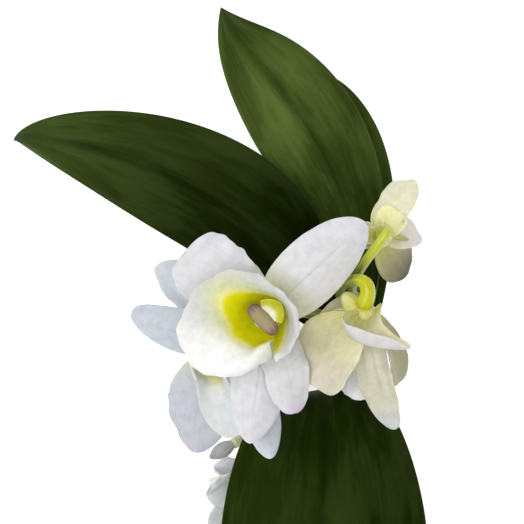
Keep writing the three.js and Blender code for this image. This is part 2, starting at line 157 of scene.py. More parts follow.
def sheet(surface, tint, grid, thickness, size, finish=0):
    """A closed sheet on a grid of rows by columns. Each point of the middle surface moves half the thickness
    along its normal, to both sides. That half falls to nothing at the rim, which the two faces share, as
    sqrt((1 - v^6) (1 - (2u - 1)^10)). Its size, in mm, is its length and half its breadth."""
    u, v = np.meshgrid(ease(grid[0]), sin(pi / 2 * np.linspace(-1, 1, grid[1] + 1)), indexing="ij")
    middle = surface(u, v)
    normal = unit(np.cross(np.gradient(middle, axis=1), np.gradient(middle, axis=0)))
    half = 0.5 * thickness * np.sqrt(np.clip(1 - v**6, 0, 1) * np.clip(1 - (2 * u - 1) ** 10, 0, 1))
    moved = normal * half[..., None]
    outer = np.arange(u.size).reshape(u.shape)
    inner = outer.copy()
    core = (slice(1, -1), slice(1, -1))
    inner[core] = u.size + np.arange(u[core].size).reshape(u[core].shape)
    place = np.stack([size[0] * u, size[1] * v], -1)
    return {
        "points": np.concatenate([(middle + moved).reshape(-1, 3), (middle - moved)[core].reshape(-1, 3)]),
        "place": np.concatenate([place.reshape(-1, 2), place[core].reshape(-1, 2)]),
        "tint": np.concatenate([tint(u, v, 1.0).reshape(-1, 3), tint(u, v, 0.0)[core].reshape(-1, 3)]),
        "quads": np.concatenate([cells(outer), cells(inner)[:, ::-1]]), "triangles": np.zeros((0, 3), int),
        "finish": finish,
    }


def cells(index):
    """The four corners of every cell of a grid of point numbers, counter-clockwise seen from outside."""
    corners = [index[:-1, :-1], index[:-1, 1:], index[1:, 1:], index[1:, :-1]]
    return np.stack([corner.ravel() for corner in corners], -1)


def rings(points, tint, place, finish=0):
    """A closed round piece: rows of points round an axis, with the middle of the first and the last row
    as the two end points, each joined to its row by a fan of triangles."""
    rows, sides = points.shape[:2]
    index = np.arange(rows * sides).reshape(rows, sides)
    index = np.concatenate([index, index[:, :1]], 1)
    start, end = rows * sides, rows * sides + 1
    first, last = index[0], index[-1]
    fan_start = np.stack([first[1:], first[:-1], np.full(sides, start)], -1)
    fan_end = np.stack([last[:-1], last[1:], np.full(sides, end)], -1)
    ends = [(values[0].mean(0), values[-1].mean(0)) for values in (points, place, tint)]
    return {
        "points": np.concatenate([points.reshape(-1, 3), ends[0]]),
        "place": np.concatenate([place.reshape(-1, 2), ends[1]]),
        "tint": np.concatenate([tint.reshape(-1, 3), ends[2]]),
        "quads": cells(index), "triangles": np.concatenate([fan_start, fan_end]), "finish": finish,
    }


def moved_to(patch, axes, centre):
    """The patch with its points turned onto three axes and carried to a centre: x X + y Y + z Z + centre."""
    return {**patch, "points": patch["points"] @ axes + centre}


def make_piece(name, patches, finishes, node):
    """Puts the patches, in mm, into one mesh in metres, and lets it stand for a node of the solid model.
    The UV map holds each point's place on its sheet in metres: along it, and across it at its widest."""
    starts = np.cumsum([0] + [len(patch["points"]) for patch in patches])
    points = np.concatenate([patch["points"] for patch in patches]) + SHIFT
    points[:, 2] = np.maximum(points[:, 2], 0)  # nothing sinks into the table
    faces = [patch[kind] + start for patch, start in zip(patches, starts) for kind in ("quads", "triangles")]
    finish = np.repeat([patch["finish"] for patch in patches for _ in range(2)], [len(f) for f in faces])
    corners = np.concatenate([part.ravel() for part in faces])
    sides = np.concatenate([np.full(len(part), part.shape[1]) for part in faces])
    mesh = bpy.data.meshes.new(name)
    mesh.vertices.add(len(points))
    mesh.vertices.foreach_set("co", (points * MM).ravel())
    mesh.loops.add(len(corners))
    mesh.loops.foreach_set("vertex_index", corners)
    mesh.polygons.add(len(sides))
    mesh.polygons.foreach_set("loop_start", np.cumsum(sides) - sides)
    mesh.polygons.foreach_set("material_index", finish)
    mesh.polygons.foreach_set("use_smooth", np.ones(len(sides), bool))
    mesh.update(calc_edges=True)
    place = np.concatenate([patch["place"] for patch in patches]) * MM
    mesh.uv_layers.new(name="place").uv.foreach_set("vector", place[corners].ravel())
    tint = np.concatenate([patch["tint"] for patch in patches])
    colour = mesh.attributes.new("tint", "FLOAT_COLOR", "POINT")
    colour.data.foreach_set("color", np.concatenate([tint, np.ones((len(tint), 1))], 1).ravel())
    for material in finishes:
        mesh.materials.append(material)
    piece = bpy.data.objects.new(name, mesh)
    bpy.context.scene.collection.objects.link(piece)
    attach(piece, "root")
    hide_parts(node)
    print(f"{name}: {(sides - 2).sum()} triangles")


# %% [markdown]
# ## Finishes
# Each material begins with what the surface really is. All of them read the painted tint, and add what
# is too fine to paint: veins that follow the sheet's own map, and the grain of the cells under the skin.
# One function adds a node, sets its properties and links or fills its sockets.

# %% The node helper
def add(tree, kind, sockets=None, **settings):
    """Adds one shader node. A socket is named by its identifier, and its value is a number, a colour, a
    node whose first output is linked, or one output of a node."""
    new = tree.nodes.new("ShaderNode" + kind)
    for name, value in settings.items():
        setattr(new, name, value)
    for name, value in (sockets or {}).items():
        socket = next(s for s in new.inputs if s.identifier == name)
        if isinstance(value, bpy.types.Node):
            value = next(s for s in value.outputs if s.enabled)
        if isinstance(value, bpy.types.NodeSocket):
            tree.links.new(value, socket)
        else:
            socket.default_value = value
    return new


def new_finish(name):
    """An empty material and its node tree."""
    material = bpy.data.materials.new(name)
    material.use_nodes = True
    material.node_tree.nodes.clear()
    return material, material.node_tree


def streaks(tree, along, across, detail=3.0):
    """Noise drawn out along a sheet: its grain is `along` by `across` millimetres on the sheet's own map."""
    place = add(tree, "UVMap", uv_map="place")
    drawn = add(tree, "Mapping", {"Vector": place, "Scale": (1 / (along * MM), 1 / (across * MM), 1)})
    return add(tree, "TexNoise", {"Vector": drawn, "Scale": 1.0, "Detail": detail, "Roughness": 0.6})


def tinted(tree, factor, low, high):
    """The painted tint, multiplied by a grey that runs from low to high with the factor."""
    tint = add(tree, "Attribute", attribute_name="tint")
    grey = add(tree, "MapRange", {"Value": factor, "From Min": 0.3, "From Max": 0.7,
                                  "To Min": low, "To Max": high})
    return add(tree, "Mix", {"Factor_Float": 1.0, "A_Color": tint, "B_Color": grey},
               data_type="RGBA", blend_type="MULTIPLY")


# %% [markdown]
# ### Leaf cuticle
# The leaf of a dendrobium is thick and leathery, under a waxy cuticle: a half gloss that runs in streaks,
# because the veins lie side by side from base to tip and lift the skin in shallow ridges. Cuticle has an
# IOR of about 1.45. Veins stand about 0.9 mm apart, and a fine net of cells lies between them.

# %% Leaf cuticle
VEIN_SPACING = 0.9
CELL_SIZE = 0.22
SHEEN_PATCH_SIZE = (26.0, 11.0)
SHEEN_COLOUR = "#7c8a62"


def leaf_cuticle():
    """Waxed, streaky dark green, with bump from the vein ridges and the cell net. The wax mirrors little.
    Broad patches are painted lighter and darker, as painted sheen and painted shade, and the lightest of
    them turn a little paler and greyer, as painted sheen."""
    material, tree = new_finish("waxed_leaf_cuticle")
    streak = streaks(tree, 14.0, VEIN_SPACING, 6.0)
    sheen_patches = streaks(tree, *SHEEN_PATCH_SIZE, 6.0)
    # Painted sheen and shade: broad patches multiply the colour by 0.78 to 1.2.
    patch = add(tree, "MapRange", {"Value": sheen_patches, "From Min": 0.42, "From Max": 0.58,
                                   "To Min": 0.78, "To Max": 1.2})
    streaky = tinted(tree, streak, 0.84, 1.2)
    bare = add(tree, "Mix", {"Factor_Float": 1.0, "A_Color": streaky, "B_Color": patch},
               data_type="RGBA", blend_type="MULTIPLY")
    # Painted sheen: where the patches are lightest, the colour turns a little towards a paler grey-green.
    grey_sheen_wash = add(tree, "MapRange", {"Value": sheen_patches, "From Min": 0.46, "From Max": 0.6,
                                   "To Min": 0.0, "To Max": 0.035})
    colour = add(tree, "Mix", {"Factor_Float": grey_sheen_wash, "A_Color": bare, "B_Color": (*linear(SHEEN_COLOUR), 1)},
                 data_type="RGBA")
    gloss = add(tree, "MapRange", {"Value": streak, "From Min": 0.3, "From Max": 0.7,
                                   "To Min": 0.34, "To Max": 0.5})
    ridge = streaks(tree, 60.0, VEIN_SPACING / 2, 1.0)
    ridges = add(tree, "Bump", {"Height": ridge, "Strength": 0.35, "Distance": 0.1 * MM})
    object_place = add(tree, "TexCoord").outputs["Object"]
    cell = add(tree, "TexNoise", {"Vector": object_place, "Scale": 1 / (CELL_SIZE * MM), "Detail": 1.0})
    skin = add(tree, "Bump", {"Height": cell, "Strength": 0.3, "Distance": 0.03 * MM, "Normal": ridges})
    shader = add(tree, "BsdfPrincipled", {
        "Base Color": colour, "Roughness": gloss, "IOR": 1.45, "Normal": skin,
        "Specular IOR Level": 0.07, "Specular Tint": (0.8, 1.0, 0.3, 1.0)})
    add(tree, "OutputMaterial", {"Surface": shader})
    return material


CUTICLE = leaf_cuticle()
print(CUTICLE.name, "ready")

# %% [markdown]
# ### Petal skin
# A white petal has no white pigment. Light is scattered back by air between its clear cells, so it needs
# light under the skin: a subsurface share with a path of about a millimetre. Its skin cells are tiny domes
# that sparkle, and its veins show as faint, slightly darker lines that fan out from the base.

# %% Petal skin
PETAL_VEIN_SPACING = 1.1
CLOUD_SIZE = 2.6
DOME_SIZE = 0.28


def petal_skin(name, vein_depth, roughness):
    """Soft white that lets light through, with fanning veins, cloudy flesh and a grain of domed cells."""
    material, tree = new_finish(name)
    vein = streaks(tree, 30.0, PETAL_VEIN_SPACING, 2.0)
    veined = tinted(tree, vein, 1.0 - vein_depth, 1.0)
    object_place = add(tree, "TexCoord").outputs["Object"]
    cloud = add(tree, "TexNoise", {"Vector": object_place, "Scale": 1 / (CLOUD_SIZE * MM), "Detail": 5.0,
                                   "Roughness": 0.65})
    pale = add(tree, "MapRange", {"Value": cloud, "From Min": 0.35, "From Max": 0.6,
                                  "To Min": 0.92, "To Max": 1.03})
    colour = add(tree, "Mix", {"Factor_Float": 1.0, "A_Color": veined, "B_Color": pale},
                 data_type="RGBA", blend_type="MULTIPLY")
    dome = add(tree, "TexNoise", {"Vector": object_place, "Scale": 1 / (DOME_SIZE * MM), "Detail": 2.0})
    fold = add(tree, "Bump", {"Height": vein, "Strength": 0.35, "Distance": 0.12 * MM})
    uneven = add(tree, "Bump", {"Height": cloud, "Strength": 0.5, "Distance": 0.35 * MM, "Normal": fold})
    grain = add(tree, "Bump", {"Height": dome, "Strength": 0.4, "Distance": 0.05 * MM, "Normal": uneven})
    shader = add(tree, "BsdfPrincipled", {
        "Base Color": colour, "Roughness": roughness, "IOR": 1.4, "Normal": grain,
        "Subsurface Weight": 0.35, "Subsurface Radius": (1.0, 0.95, 0.85), "Subsurface Scale": 0.9 * MM,
        "Specular IOR Level": 0.25})
    add(tree, "OutputMaterial", {"Surface": shader})
    return material


PETAL = petal_skin("domed_petal_skin", 0.04, 0.5)
LIP = petal_skin("velvet_lip_skin", 0.02, 0.6)
print(PETAL.name, "and", LIP.name, "ready")

# %% [markdown]
# ### Fleshy stalk, anther and cane rind
# Stalks and the column are firm flesh full of water, with a wet half gloss. The anther cap is drier. The
# cane's rind is ribbed lengthways and partly wrapped in old leaf sheaths, dry and thin as paper.

# %% Flesh, cap, rind and paper
def flesh(name, rib, roughness, coat, subsurface):
    """Firm plant flesh: the tint with lengthwise ribs `rib` mm apart, which bump it, and a moist coat."""
    material, tree = new_finish(name)
    ribs = streaks(tree, 12.0, rib)
    raised = add(tree, "Bump", {"Height": ribs, "Strength": 0.4, "Distance": 0.12 * MM})
    shader = add(tree, "BsdfPrincipled", {
        "Base Color": tinted(tree, ribs, 0.86, 1.1), "Roughness": roughness, "IOR": 1.4, "Normal": raised,
        "Subsurface Weight": subsurface, "Subsurface Radius": (1.0, 0.9, 0.4), "Subsurface Scale": 0.8 * MM,
        "Coat Weight": coat, "Coat Roughness": 0.25})
    add(tree, "OutputMaterial", {"Surface": shader})
    return material


STALK = flesh("moist_stalk_flesh", 0.7, 0.4, 0.3, 0.25)
COLUMN = flesh("waxy_column_flesh", 3.0, 0.4, 0.2, 0.3)
CAP = flesh("dry_anther_cap", 0.5, 0.55, 0.0, 0.2)
RIND = flesh("ribbed_cane_rind", 1.1, 0.5, 0.1, 0.1)
PAPER = flesh("papery_old_sheath", 0.6, 0.75, 0.0, 0.15)
print("five finishes of flesh, rind and paper ready")

# %% [markdown]
# ## The cane
# A cane is a stack of internodes with a ring scar at each joint, where an old leaf sat. Its line is one
# bent stretch and one straight one, walked by true length, so that the joints stand at even steps.

# %% The cane's line and radius
CANE_RADIUS = 4.4
CANE_AXIS_HEIGHT = CANE_RADIUS * cos(pi / 12)  # the solid's twelve sides rest on a flat one
CANE_BEND = [[31, -7, 12.5], [29, -20, 10.5], [25.5, -36, 7.6], [22, -58, 5.4],
             [19.5, -84, CANE_AXIS_HEIGHT], [18.6, -108, CANE_AXIS_HEIGHT]]
CANE_FOOT = [17.9, -150, CANE_AXIS_HEIGHT]
INTERNODES = 7

bent_line = bezier(CANE_BEND, np.linspace(0, 1, 1500))
cane_line = np.concatenate([bent_line, bezier([CANE_BEND[-1], CANE_FOOT], np.linspace(0, 1, 500))[1:]])
walked = np.concatenate([[0], np.cumsum(np.linalg.norm(np.diff(cane_line, axis=0), axis=1))])
STRAIGHT_FROM = walked[1499] / walked[-1]


def cane_spot(share):
    """Point of the cane's axis at a share of its length, 0 at the growing tip and 1 at the cut end."""
    return np.stack([np.interp(share * walked[-1], walked, cane_line[:, k]) for k in range(3)], -1)


def cane_radius(share):
    """Slimmer and rounded towards the tip, swollen between the joints where it is bent, pinched at them."""
    place = share * INTERNODES
    swelling = 0.07 * abs(sin(pi * place)) * np.maximum(0, 1 - share / STRAIGHT_FROM)
    pinch = 0.06 * abs(cos(pi * place)) ** 24
    slimming = (1 - 0.3 * (1 - share) ** 2) * (1 - 0.4 * (1 - share) ** 80)
    return CANE_RADIUS * slimming * (1 + swelling - pinch)


def beside_cane(share, angle, distance):
    """The spot at a distance from the cane's skin, the way out to it and the way of growth. Angle 0 is the
    cane's right side and 90 its top."""
    growth = -tangent_of(cane_spot, np.array(share))
    right = unit(np.cross(growth, [0, 0, 1]))
    top = np.cross(right, growth)
    outward = right * cos(np.radians(angle)) + top * sin(np.radians(angle))
    return cane_spot(share) + outward * (cane_radius(share) + distance), outward, growth


print("cane length in mm:", round(walked[-1], 1))

# %% [markdown]
# A round piece follows its line in a frame square to it. Its cut end is a disc: rings that shrink without
# moving along the axis. Papery sheaths are the same surface lifted a little, with a torn upper edge.

# %% The cane
PAPER_WRAP = 2.75  # radians to each side of the middle
PAPER_SIZE = (20, 13)


def round_frame(curve, share, up=(0, 0, 1)):
    """Spot, across and raised directions of a curve at shares of its length, with raised close to up."""
    spot, tangent = curve(share), tangent_of(curve, share)
    across = unit(np.cross(tangent, np.asarray(up, float)))
    return spot, across, np.cross(across, tangent)


def round_points(curve, share, turn, radius, up=(0, 0, 1)):
    """Points at spot + across r sin(turn) + raised r cos(turn)."""
    spot, across, raised = [a[:, None] for a in round_frame(curve, share[:, 0], up)]
    return spot + (radius * sin(turn))[..., None] * across + (radius * cos(turn))[..., None] * raised


def cane_patch():
    """The rind: ribbed, with a scar ring under each joint, and a cut disc of pith dotted with vessels."""
    tip_rows, body_rows, cut_rows = 6, 361, 14
    share = np.concatenate([np.zeros(tip_rows), np.linspace(0, 1, body_rows), np.ones(cut_rows)])
    tip, cut = np.linspace(0.15, 0.97, tip_rows), np.linspace(0.985, 0.06, cut_rows)
    shrink = np.concatenate([tip, np.ones(body_rows), cut])
    share, turn = round_grid(share, 72)
    shrink = np.broadcast_to(shrink[:, None], share.shape)
    beyond = share * INTERNODES - np.round(share * INTERNODES)
    scar = 0.32 * bell(beyond - 0.02, 0.012) - 0.22 * bell(beyond + 0.015, 0.015)
    ribs = 0.07 * sin(16 * turn + 3 * share) * (shrink > 0.98)
    joint = (share > 0.01) & (share < 0.99)
    radius = shrink * (cane_radius(share) + ribs + scar * joint)
    points = round_points(cane_spot, share, turn, radius)
    disc = (share > 0.999) & (shrink < 0.99)
    vessels = disc * (0.5 + 0.5 * sin(9 * turn + 5 * shrink) * sin(26 * shrink))
    points[..., 1] += 0.25 * disc * (1 - shrink) + 0.1 * vessels
    tint = washes("#8a9a4a", ("#66772f", smooth(sin(3 * turn + 9 * share), 0.2, 1) * 0.6),
                  ("#5b4a2a", 0.75 * bell(beyond + 0.008, 0.012) * joint),
                  ("#a9b35c", 0.5 * smooth(share, 0.2, 0.0)),
                  ("#cfd3a0", disc), ("#8f9a58", 0.7 * smooth(vessels, 0.6, 0.95)),
                  ("#8d8450", disc * smooth(shrink, 0.86, 0.97)))
    place = np.stack([share * walked[-1], turn * CANE_RADIUS], -1)
    return rings(points, tint, place)


def sheath_patch(first, last, opening, seed):
    """An old leaf sheath round the cane from share `first`, its torn edge, to share `last`: the rind lifted
    by 0.3 mm, and by 0.8 mm at its torn edge, and open along one side. The seed shifts its waves."""
    def surface(u, v):
        torn = (0.010 * sin(5 * v + seed) + 0.004 * sin(17 * v + 2 * seed)) * (1 - u)
        share = first + (last - first) * u + torn
        turn = opening + pi + v * PAPER_WRAP
        lift = 0.32 + 0.5 * (1 - u) ** 6 + 0.1 * sin(6 * v + 7 * u + seed)
        spot, across, raised = round_frame(cane_spot, share)
        radius = (cane_radius(share) + lift)[..., None]
        return spot + radius * (sin(turn)[..., None] * across + cos(turn)[..., None] * raised)

    def tint(u, v, side):
        return washes("#cfc8a4", ("#a89b70", 0.7 * smooth(sin(23 * v + seed), 0.1, 1)),
                      ("#7d6a45", 0.8 * smooth(u, 0.12, 0.0)), ("#9aa35e", 0.6 * smooth(u, 0.5, 1)))

    return sheet(surface, tint, (40, 64), 0.22, PAPER_SIZE, 1)


make_piece("cane_and_sheaths", [
    cane_patch(), sheath_patch(0.452, 0.565, 0.0, 1.0), sheath_patch(0.60, 0.705, 2.6, 2.3),
    sheath_patch(0.752, 0.85, 1.2, 4.1)], [RIND, PAPER], "cane")

# %% [markdown]
# ## The leaves
# A leaf clasps the cane, then bends along its midrib. Its section is an arc, and the midrib is sunk in a
# groove on the upper face with a rib below. Side veins run from base to tip, so they keep their share of the
# width. Painted on: a darker groove and a dark midrib line, which are painted shade in the crease, a thin
# yellow-green margin, a paler back, and a painted sheen on the upper face.

# %% The leaves' formulas
CLEARANCE = 0.35
LEAF_THICKNESS = 1.0
SHEATH_GAP = CLEARANCE + LEAF_THICKNESS / 2
SHEATH_LENGTH = 6
SHEATH_WRAP = 1.5
LEAF_TIP_HALF_WIDTH = 0.12


def across_blade(spot, side, face, v, half_width, cup, lift):
    """Point at lateral place v: an arc that turns by cup from the middle to each margin, raised by lift."""
    bend = np.where(abs(cup) < 1e-3, 1e-3, cup)
    out = half_width * sin(bend * v) / bend
    rise = half_width * (1 - cos(bend * v)) / bend + lift
    return spot + side * out[..., None] + face * rise[..., None]


def leaf_surface(leaf):
    """Middle surface of a leaf, as a function of u from base to tip and v from margin to margin."""
    base, outward, growth = beside_cane(leaf["at"], leaf["angle"], SHEATH_GAP)
    points = [base, base + growth * SHEATH_LENGTH, *leaf["midrib"]]
    clasp_radius = cane_radius(leaf["at"]) + SHEATH_GAP

    def surface(u, v):
        spot = bezier(points, u)
        tangent = tangent_of(lambda t: bezier(points, t), u)
        turned = (u**0.8)[..., None]
        looks = -outward * (1 - turned) + unit(np.array(leaf["face_tip"], float)) * turned
        side = unit(np.cross(tangent, looks))
        face = np.cross(side, tangent)
        clasp = SHEATH_WRAP * np.maximum(0, 1 - u / 0.3) ** 2
        wide = outline(u, *leaf["shape"])
        half_width = np.maximum(leaf["half_width"] * wide + clasp_radius * clasp, LEAF_TIP_HALF_WIDTH)
        across = v * half_width
        groove = -0.5 * bell(across, 1.3) * smooth(u, 0.05, 0.25) * smooth(u, 1.0, 0.8)
        veins = 0.02 * cos(2 * pi * v * leaf["half_width"] / 2.2) * smooth(abs(across), 0.8, 2.5)
        waves = leaf["wave"] * sin(2 * pi * (2.3 * u + leaf["phase"]) + 0.9 * v) * abs(v) ** 2.5
        lift = groove + veins * smooth(u, 1.0, 0.9) + waves * sin(pi * u)
        return across_blade(spot, side, face, v, half_width, along3(leaf["fold"], u) * wide + clasp, lift)

    return surface


def leaf_tint(leaf):
    """Upper face from the leaf's deep tone to its light one, a painted sheen that gains towards a given
    share of its length, and by `lean` towards one margin; lower face dull and paler; margin and midrib
    traced, with the groove and the midrib line on the upper face painted darker, as painted shade in the
    crease."""
    def tint(u, v, upper):
        across = v * leaf["half_width"] * outline(u, *leaf["shape"])
        rib = bell(across, 0.35) * smooth(u, 1.0, 0.6)
        painted_groove_shade = bell(across, 1.6) * (1 - rib)
        patchy = 0.5 + 0.5 * sin(7.1 * u + 3 * v + leaf["phase"] * 9) * sin(4.3 * v - 5.2 * u)
        # Painted sheen: the light tone is laid in patches where the light falls, and stronger towards one
        # margin by lean.
        painted_sheen = bell(u - leaf["painted_sheen"], 0.28) * (0.6 + 0.4 * patchy) * (1 + leaf["lean"] * v)
        margin = smooth(abs(v), 0.985, 1.0)
        # Painted shade: the groove and the midrib line on the upper face are darkened as shade in the
        # crease; the paler rib on the back is its own colour.
        top = washes(leaf["deep"], (leaf["light"], painted_sheen), (leaf["deep"], 0.6 * painted_groove_shade),
                     ("#101a02", 0.6 * rib), ("#8a9648", 0.15 * margin),
                     ("#5f6f2e", 0.6 * smooth(u, 0.18, 0.0)))
        back = washes("#546c33", ("#475f2a", 0.5 * patchy), ("#7f9152", 0.7 * rib),
                      ("#9aa652", 0.7 * margin))
        return top if upper else back

    return tint


print("leaf sheath wraps", round(np.degrees(SHEATH_WRAP)), "degrees to each side of the cane")

# %% [markdown]
# Each leaf has its own place on the cane, line, width and fold, so no two are alike.

# %% The four leaves
# Painted light and shade: each leaf's light tone is painted sheen, and its deep tone is darkened by painted
# shade, most of all on the lower leaf.
LEAVES = {
    "left": dict(
        at=0.16, angle=180, half_width=18.4, shape=(1.15, 1.26), fold=(0.5, 0.3, 0.1), wave=0.5, phase=0.1,
        deep="#121d01", light="#435422", painted_sheen=0.95, lean=0, face_tip=(0.1, -0.15, 1),
        midrib=[[10, -2, 14], [4, 26, 43], [-35.5, 30, 32], [-72, 42, 14], [-79.5, 38.8, 0.3]]),
    "top": dict(
        at=0.055, angle=330, half_width=16.5, shape=(1.6, 1.0), fold=(0.5, 0.3, 0.35), wave=0.5, phase=0.45,
        deep="#25340a", light="#4b5a26", painted_sheen=0.75, lean=-0.3, face_tip=(-0.15, 0.2, 1),
        midrib=[[31, 4, 8.5], [28, 24.5, 9.5], [15, 49, 30], [-4, 55.5, 31], [-12.9, 79.8, 9]]),
    "right": dict(
        at=0.25, angle=335, half_width=13, shape=(1.6, 0.65), fold=(0.5, 0.1, -0.1), wave=0.2, phase=0.7,
        deep="#2a380c", light="#40501e", painted_sheen=0.8, lean=0, face_tip=(0.4, 0, 1),
        midrib=[[34, -28, 4], [24, -4, 2.5], [35, 20, 3.1], [29, 42, 3.2], [16, 60, 3.6]]),
    "lower": dict(
        at=0.35, angle=90, half_width=31.5, shape=(1.9, 0.62), fold=(0.3, -0.45, -0.4), wave=0.4, phase=0.3,
        deep="#0b1400", light="#1f2d04", painted_sheen=0.6, lean=0.3, face_tip=(0, 0.3, 1),
        midrib=[[24, -34, 13], [17, -17, 34], [15, -47, 44], [20, -78, 62], [17.3, -105, 52],
                [18.4, -138, 25]]),
}
LEAF_GRID = (150, 110)
LEAF_LENGTH = 110  # roughly, which is enough for the grain of the skin

for name, leaf in LEAVES.items():
    size = (LEAF_LENGTH, leaf["half_width"])
    blade = sheet(leaf_surface(leaf), leaf_tint(leaf), LEAF_GRID, LEAF_THICKNESS, size)
    make_piece(f"{name}_leaf", [blade], [CUTICLE], f"leaf_{name}")

# %% [markdown]
# ## The flowers
# A flower has three sepals and two petals, which are much alike and are called tepals here, then a lip: a
# petal rolled into a trumpet round the column. Each is worked out in the flower's own axes, Z where it
# faces and Y towards its top sepal. The midrib of a tepal is an arc, opened from Z by an angle.

# %% Tepals
PETAL_THICKNESS = 0.8
RECEPTACLE_RADIUS = 3.6
TEPAL_TIP_HALF_WIDTH = 0.15
TEPAL_FOOT = (1.2, 2.6)  # where it starts from the axis, and how much wider it is there
TEPAL_GRID = (64, 44)
FLAT = dict(bow=0, twist=0, blush=0.15, inside=None, back=None, tip="#d9c6dd", tip_from=0.86)
SEPAL_LIKE = dict(**FLAT, curl=14, half_width=8.6, cup=0.5, ruffle=0, keel=0.12, shape=(0.55, 0.6),
                  frill=0.12)
PETAL_LIKE = dict(**FLAT, curl=18, half_width=12.5, cup=0.35, ruffle=1.6, keel=0.03, shape=(0.7, 0.48),
                  frill=0.6)


def sepal(azimuth, opening, length, **more):
    """A sepal: pointed, smooth and lightly keeled."""
    return {**SEPAL_LIKE, "azimuth": azimuth, "open": opening, "length": length, **more}


def petal(azimuth, opening, length, **more):
    """A petal: broad, blunt and ruffled."""
    return {**PETAL_LIKE, "azimuth": azimuth, "open": opening, "length": length, **more}


def tepal_surface(tepal):
    """Middle surface of a tepal. Its midrib turns by curl along its length, bows sideways as sin(pi u) and
    twists; its section is an arc with a keel; its margins are notched, wave slowly, and finely where |v| is
    close to 1. Low puckers and veins and a raised crease along the middle are added last."""
    turn = np.radians(tepal["curl"])
    first = np.radians(tepal["open"]) - turn / 2
    way = np.radians(tepal["azimuth"])
    outward, forward = np.array([cos(way), sin(way), 0]), np.array([0.0, 0.0, 1.0])
    side = np.cross(forward, outward)
    reach, phase = tepal["length"] / turn, tepal["azimuth"] * 0.7
    bow, twist = tepal["bow"], np.radians(tepal["twist"])

    def surface(u, v):
        angle = first + turn * u
        out = (TEPAL_FOOT[0] + reach * (cos(first) - cos(angle)))[..., None]
        ahead = (reach * (sin(angle) - sin(first)))[..., None]
        tangent = outward * sin(angle)[..., None] + forward * cos(angle)[..., None]
        level = np.cross(side, tangent)
        lean = (twist * u)[..., None]
        across = side * cos(lean) + level * sin(lean)
        face = np.cross(across, tangent)
        spot = outward * out + forward * ahead + side * (bow * sin(pi * u))[..., None]
        half_width = tepal["half_width"] * outline(u, *tepal["shape"]) + TEPAL_FOOT[1] * (1 - u) ** 3
        notched = sin(31 * u + phase + 2 * np.sign(v)) + 0.7 * sin(53 * u + 3 * phase)
        scallop = 1 + 0.028 * tepal["frill"] * notched * smooth(u, 0.2, 0.6)
        half_width = np.maximum(half_width * scallop, TEPAL_TIP_HALF_WIDTH)
        slow = sin(pi * u) * sin(5.2 * u + np.where(v > 0, 0.9, 2.6)) * abs(v) ** 3
        fine = tepal["frill"] * sin(21 * u + phase + 3 * v) * abs(v) ** 5 * smooth(u, 0.15, 0.5)
        pucker = 0.3 * tepal["frill"] * sin(11 * u + 5 * v + phase) * sin(7 * v - 4 * u)
        drift = 1.2 * sin(6 * u + phase) + 0.8 * sin(13 * u - 4 * v)
        veins = 0.02 * cos(2 * pi * v * tepal["half_width"] / 1.5 + drift) * smooth(u, 1.0, 0.7)
        crease = 0.25 * bell(v * half_width, 0.7) * smooth(u, 1.0, 0.5) * smooth(u, 0.0, 0.2)
        keel = tepal["keel"] * half_width * np.sqrt(v**2 + 0.004)
        lift = keel + tepal["ruffle"] * slow + fine + pucker * sin(pi * u) + veins + crease
        return across_blade(spot, across, face, v, half_width, tepal["cup"], lift)

    return surface


def tepal_tint(tepal, hues):
    """Inside and back in the tepal's own hues, or else the flower's, with a green-tinged base, veins at the
    foot of the back, a grey line along a keeled middle, and a tip of its own colour. A back in the flower's
    hue has painted shade down its middle, towards the base, in the flower's shade hue."""
    def tint(u, v, outer):
        base = smooth(u, 0.42, 0.0)
        tip = smooth(u, tepal["tip_from"], 1.0) * tepal["blush"]
        fan = 0.5 + 0.5 * cos(2 * pi * v * tepal["half_width"] / 2.4)
        line = bell(v * tepal["half_width"], 0.35) * smooth(u, 0.9, 0.6) * smooth(u, 0.05, 0.3)
        front = washes(tepal["inside"] or hues["inside"], ("#e6e4ac", 0.8 * base), (tepal["tip"], tip),
                       ("#a9a9a5", min(2.5 * tepal["keel"], 0.3) * line))
        # Painted shade: the middle of a back in the flower's hue turns to its shade hue, towards the base.
        middle = 0.6 * smooth(abs(v), 0.8, 0.1) * smooth(u, 1.0, 0.5)
        back = washes(tepal["back"] or hues["back"], (hues["shade"], middle * (tepal["back"] is None)),
                      (hues["veins"], 0.9 * base * (0.35 + 0.65 * fan)), (tepal["tip"], tip))
        return back if outer else front

    return tint


print("tepal thickness", PETAL_THICKNESS, "mm")

# %% [markdown]
# The seat of the petals is a small round cup, and the two lower sepals start from a blunt chin below it.
# Both are one smooth skin: from the middle, each ray reaches to the farther of two ellipsoids, and a power
# mean rounds the crease where they meet.

# %% The seat and its chin
SEAT_FLATNESS = 0.9
CHIN_HALF_SIZES = np.array([2.8, 4.9, 2.6])
CHIN_TURN = 0.6
CHIN_CENTRE = np.array([0.0, -4.4, -1.2])


